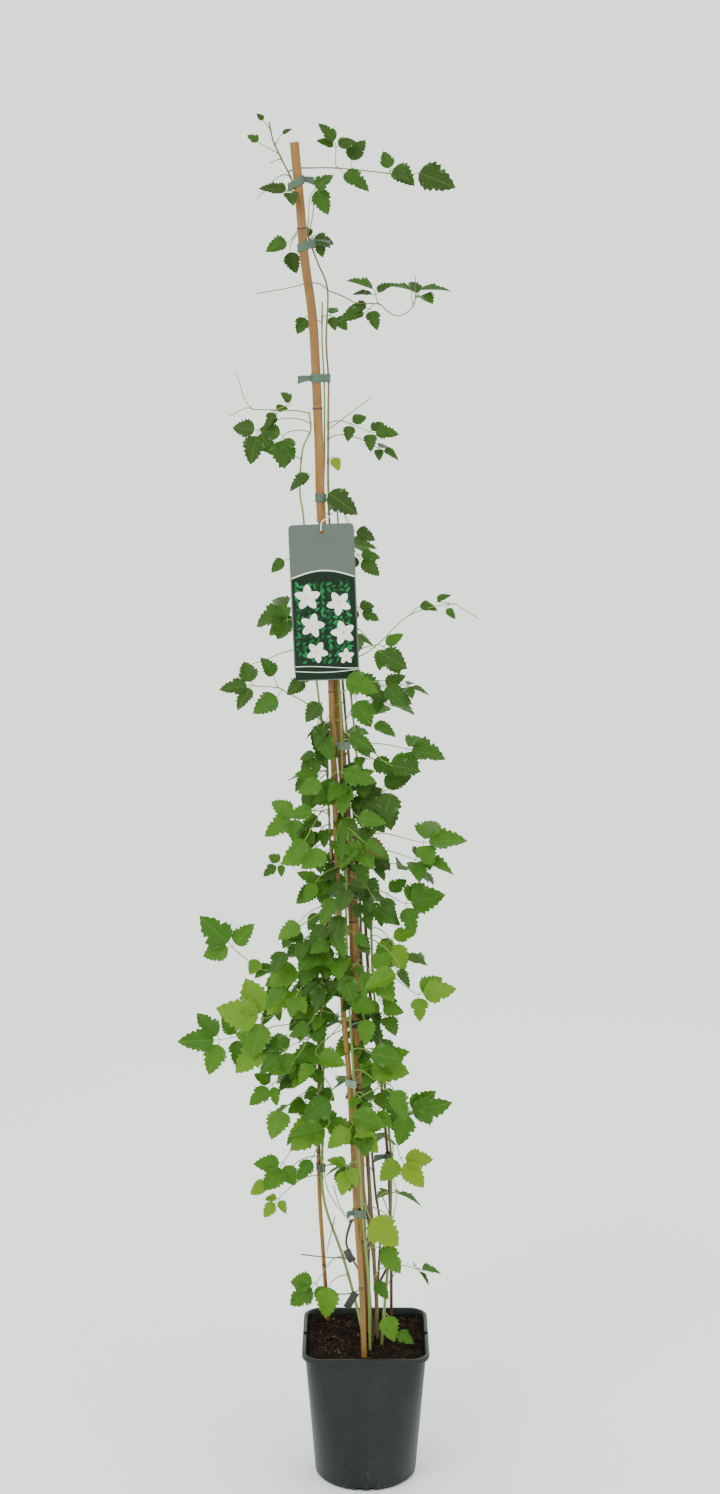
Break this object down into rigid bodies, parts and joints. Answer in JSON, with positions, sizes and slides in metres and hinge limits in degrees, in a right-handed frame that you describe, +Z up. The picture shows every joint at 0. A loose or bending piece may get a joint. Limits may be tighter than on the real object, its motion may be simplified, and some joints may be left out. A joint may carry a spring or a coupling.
{
  "type": "potted clematis",
  "caption": "Young clematis in a square nursery pot of soil, its leafy twining stems tied with green tape to bamboo canes, with a card label hung from a strap.",
  "frame": {"origin": "centre of the pot's flat underside", "axes": "+Z up along the canes, -Y towards the front, where the card label hangs, +X to the right seen from the front"},
  "size_m": [0.4162, 0.2511, 1.896],
  "materials": {
    "pot": "satin",
    "soil": "matte",
    "cane_tan": "satin",
    "cane_pale": "satin",
    "cane_dark": "satin",
    "leaf_deep": "satin",
    "leaf_fresh": "satin",
    "tape": "satin",
    "card": "satin",
    "strap": "satin"
  },
  "bodies": {
    "root": {"pot": "pot", "soil": "soil", "cane_main": "cane_tan", "cane_front": "cane_pale", "cane_left": "cane_tan", "cane_back": "cane_pale", "cane_right": "cane_dark", "vine_leader": "leaf_deep", "vine_second": "leaf_deep", "vine_left": "leaf_fresh", "vine_right": "leaf_fresh", "vine_front": "leaf_fresh", "vine_back": "leaf_deep", "tie_top": "tape", "tie_upper": "tape", "tie_middle": "tape", "tie_label": "tape", "tie_pale": "tape", "tie_bundle": "tape", "tie_dark": "tape", "tie_front": "tape", "tie_low_front": "tape", "tie_low_left": "tape", "tie_low_right": "tape", "label": "card", "label_strap": "strap"}
  },
  "joints": []
}
